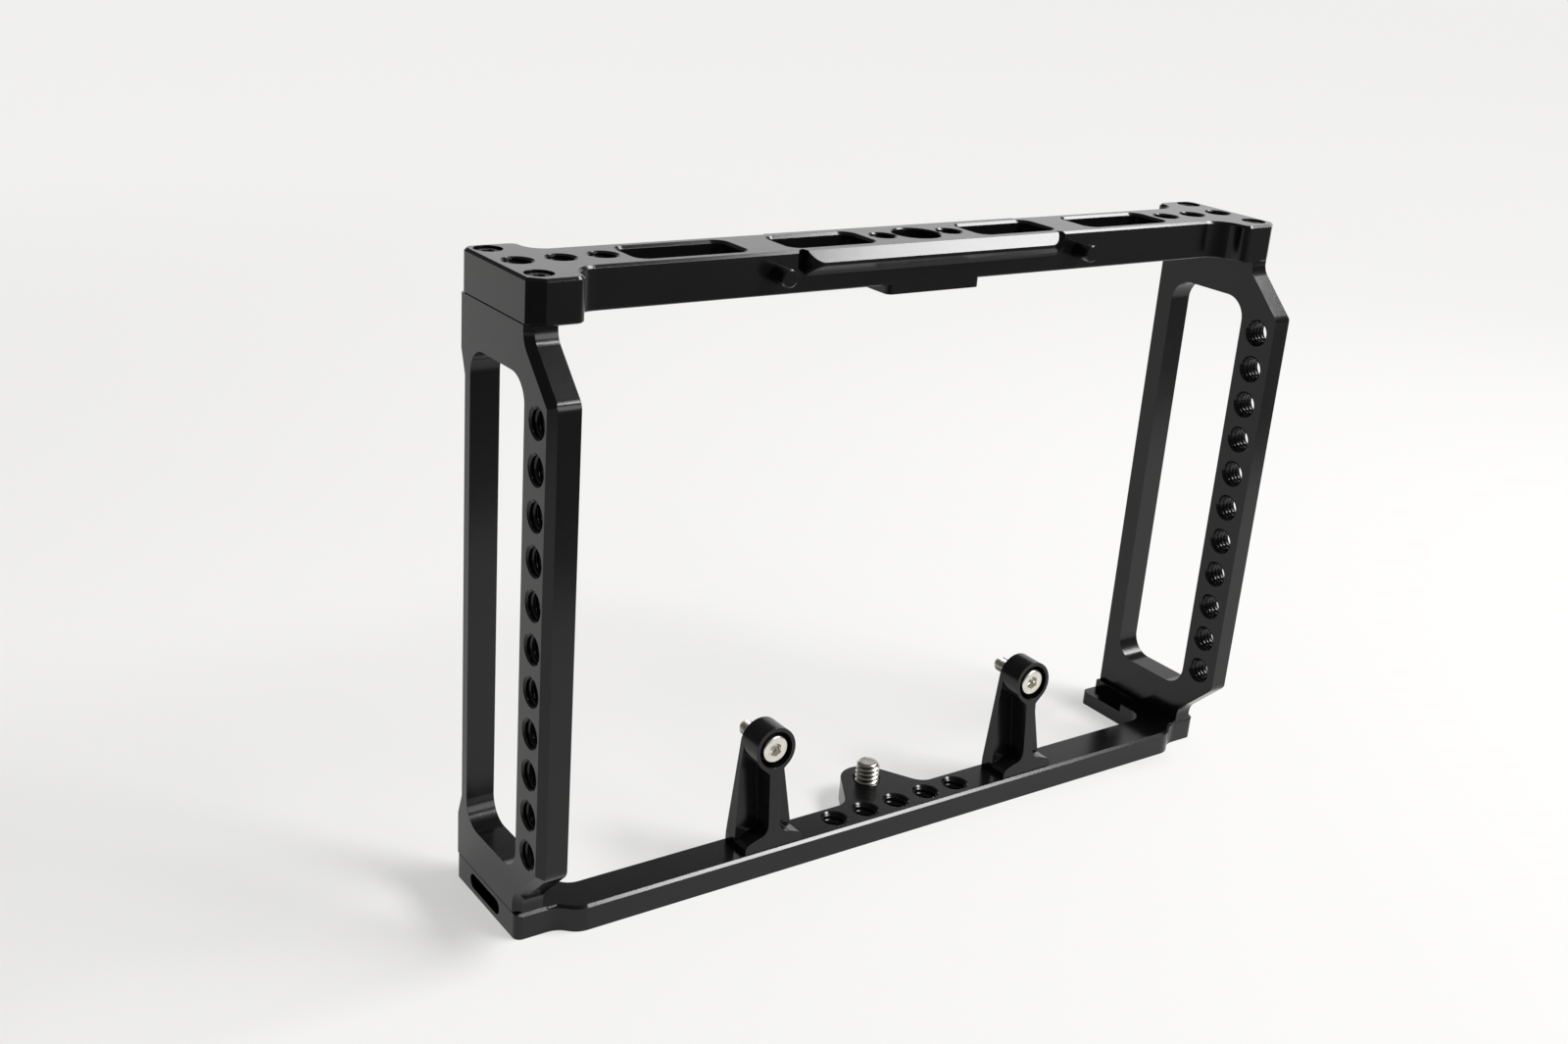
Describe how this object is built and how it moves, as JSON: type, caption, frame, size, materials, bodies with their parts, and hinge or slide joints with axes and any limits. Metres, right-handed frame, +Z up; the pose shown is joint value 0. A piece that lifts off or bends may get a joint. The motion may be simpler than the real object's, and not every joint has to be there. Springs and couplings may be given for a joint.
{
  "type": "monitor cage",
  "caption": "Black aluminium frame round a field monitor: slotted top bar with accessory rail and sprung stop pins, drilled side plates, base bar with posts, socket screws and an upright screw.",
  "frame": {"origin": "under the middle of the cage, on the surface that it stands on", "axes": "+X along the cage's width, +Y from the front, where the hole rows and posts are, to the rear, +Z up"},
  "size_m": [0.221, 0.0426, 0.1534],
  "materials": {
    "anodised": "black anodised, bead blasted, satin",
    "stainless": "bright turned",
    "pin": "black, satin",
    "black_steel": "black oxide"
  },
  "bodies": {
    "cage": {"top_plate": "anodised", "left_side_plate": "anodised", "right_side_plate": "anodised", "bottom_plate": "anodised", "left_post": "anodised", "right_post": "anodised", "monitor_screw_clip": "stainless", "left_stop_pin_spring": "stainless", "right_stop_pin_spring": "stainless", "left_stop_pin_plug": "black_steel", "right_stop_pin_plug": "black_steel", "top_left_joint_screws": "black_steel", "top_right_joint_screws": "black_steel", "bottom_left_joint_screws": "black_steel", "bottom_right_joint_screws": "black_steel", "left_post_base_screw": "black_steel", "right_post_base_screw": "black_steel"},
    "left_post_screw": {"left_post_screw": "stainless"},
    "right_post_screw": {"right_post_screw": "stainless"},
    "monitor_screw": {"monitor_screw": "stainless"},
    "left_stop_pin": {"left_stop_pin": "pin"},
    "right_stop_pin": {"right_stop_pin": "pin"}
  },
  "joints": [
    {"name": "left_stop_pin_press", "type": "slide", "parent": "cage", "child": "left_stop_pin", "axis": [0, 1, 0], "range_m": [0, 0.0046], "stiffness_N_per_m": 400, "springref_m": -0.003, "deforming": ["left_stop_pin_spring"]},
    {"name": "right_stop_pin_press", "type": "slide", "parent": "cage", "child": "right_stop_pin", "axis": [0, 1, 0], "range_m": [0, 0.0046], "stiffness_N_per_m": 400, "springref_m": -0.003, "deforming": ["right_stop_pin_spring"]},
    {"name": "left_post_screw_slide", "type": "slide", "parent": "cage", "child": "left_post_screw", "axis": [0, -1, 0], "range_m": [0, 0.0064]},
    {"name": "right_post_screw_slide", "type": "slide", "parent": "cage", "child": "right_post_screw", "axis": [0, -1, 0], "range_m": [0, 0.0064]},
    {"name": "monitor_screw_turn", "type": "hinge", "parent": "cage", "child": "monitor_screw", "pos_m": [0, 0.0037, 0], "axis": [0, 0, 1], "continuous": true}
  ]
}
